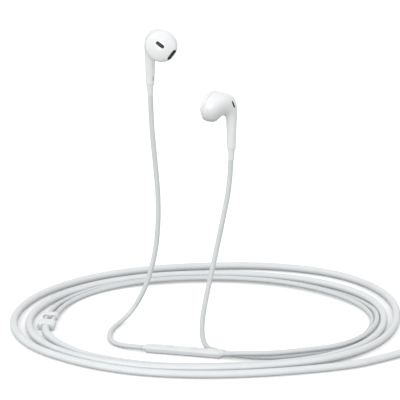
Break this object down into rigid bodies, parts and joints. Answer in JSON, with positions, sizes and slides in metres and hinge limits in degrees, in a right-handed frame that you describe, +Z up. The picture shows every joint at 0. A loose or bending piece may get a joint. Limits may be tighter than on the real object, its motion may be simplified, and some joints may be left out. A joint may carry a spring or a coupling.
{
  "type": "wired earphones",
  "caption": "Wired half-in-ear earphones with an inline button remote, a Y splitter with a slider, laid-out cords and a four-pole headphone plug.",
  "frame": {"origin": "the tip of the left bud's front cover, where it seats in the ear", "axes": "+Z up, +X along the plug pin away from its body, +Y away from the viewer; the floor that the cords lie on is 0.151 m below the origin"},
  "size_m": [0.2493, 0.1374, 0.1579],
  "materials": {
    "bud_shell": "polished white ABS",
    "acoustic_mesh": "dark woven acoustic mesh",
    "relief": "satin white elastomer",
    "cord_jacket": "satin white elastomer jacket",
    "crimp": "plain",
    "driver_steel": "nickel plated",
    "magnet": "nickel plated neodymium",
    "diaphragm_film": "thin film",
    "copper_wire": "enamelled copper winding",
    "seal": "foam seal",
    "board": "solder-masked board",
    "keypad_rubber": "silicone",
    "switch_metal": "plated",
    "remote_case": "satin white ABS",
    "button_plastic": "satin white ABS",
    "splitter_plastic": "satin white moulding",
    "plug_plastic": "satin white moulding",
    "insulator": "white insulating resin",
    "contact_metal": "nickel plated contact"
  },
  "bodies": {
    "earphones": {"left_cord": "cord_jacket", "left_cord_anchor": "crimp", "left_driver_frame": "driver_steel", "left_driver_magnet": "magnet", "left_driver_plate": "driver_steel", "left_driver_yoke": "driver_steel", "left_front_cover": "bud_shell", "left_front_mesh": "acoustic_mesh", "left_gasket": "seal", "left_rear_shell": "bud_shell", "left_rear_vent_mesh": "acoustic_mesh", "left_side_mesh": "acoustic_mesh", "left_strain_relief": "relief", "left_surround": "diaphragm_film", "left_terminal_board": "board", "main_cord": "cord_jacket", "plug_body": "plug_plastic", "plug_insulator": "insulator", "plug_relief": "relief", "plug_ring_1": "contact_metal", "plug_ring_2": "contact_metal", "plug_sleeve": "contact_metal", "plug_tip": "contact_metal", "remote_circuit_board": "board", "remote_cord": "cord_jacket", "remote_dome_switches": "switch_metal", "remote_keypad": "keypad_rubber", "remote_left_relief": "relief", "remote_lower_case": "remote_case", "remote_microphone": "switch_metal", "remote_microphone_mesh": "acoustic_mesh", "remote_right_relief": "relief", "remote_upper_case": "remote_case", "right_cord": "cord_jacket", "right_cord_anchor": "crimp", "right_driver_frame": "driver_steel", "right_driver_magnet": "magnet", "right_driver_plate": "driver_steel", "right_driver_yoke": "driver_steel", "right_front_cover": "bud_shell", "right_front_mesh": "acoustic_mesh", "right_gasket": "seal", "right_rear_shell": "bud_shell", "right_rear_vent_mesh": "acoustic_mesh", "right_side_mesh": "acoustic_mesh", "right_strain_relief": "relief", "right_surround": "diaphragm_film", "right_terminal_board": "board", "splitter_core": "splitter_plastic", "splitter_shell": "splitter_plastic"},
    "left_cone": {"left_diaphragm": "diaphragm_film", "left_voice_coil": "copper_wire"},
    "right_cone": {"right_diaphragm": "diaphragm_film", "right_voice_coil": "copper_wire"},
    "volume_up": {"volume_up_button": "button_plastic"},
    "play": {"play_button": "button_plastic"},
    "volume_down": {"volume_down_button": "button_plastic"},
    "slider": {"slider": "splitter_plastic"}
  },
  "joints": [
    {"name": "left_cone_slide", "type": "slide", "parent": "earphones", "child": "left_cone", "axis": [-0.1375, -0.9781, 0.1564], "range_m": [-0.00025, 0.00025], "stiffness_N_per_m": 350},
    {"name": "right_cone_slide", "type": "slide", "parent": "earphones", "child": "right_cone", "axis": [-0.7783, 0.6081, 0.1564], "range_m": [-0.00025, 0.00025], "stiffness_N_per_m": 350},
    {"name": "volume_up_press", "type": "slide", "parent": "earphones", "child": "volume_up", "axis": [0, 0, -1], "range_m": [0, 0.0003], "stiffness_N_per_m": 4000, "springref_m": -0.00005},
    {"name": "play_press", "type": "slide", "parent": "earphones", "child": "play", "axis": [0, 0, -1], "range_m": [0, 0.0003], "stiffness_N_per_m": 4000, "springref_m": -0.00005},
    {"name": "volume_down_press", "type": "slide", "parent": "earphones", "child": "volume_down", "axis": [0, 0, -1], "range_m": [0, 0.0003], "stiffness_N_per_m": 4000, "springref_m": -0.00005},
    {"name": "slider_slide", "type": "slide", "parent": "earphones", "child": "slider", "axis": [-0.1495, -0.9888, 0], "range_m": [0, 0.0057]}
  ]
}
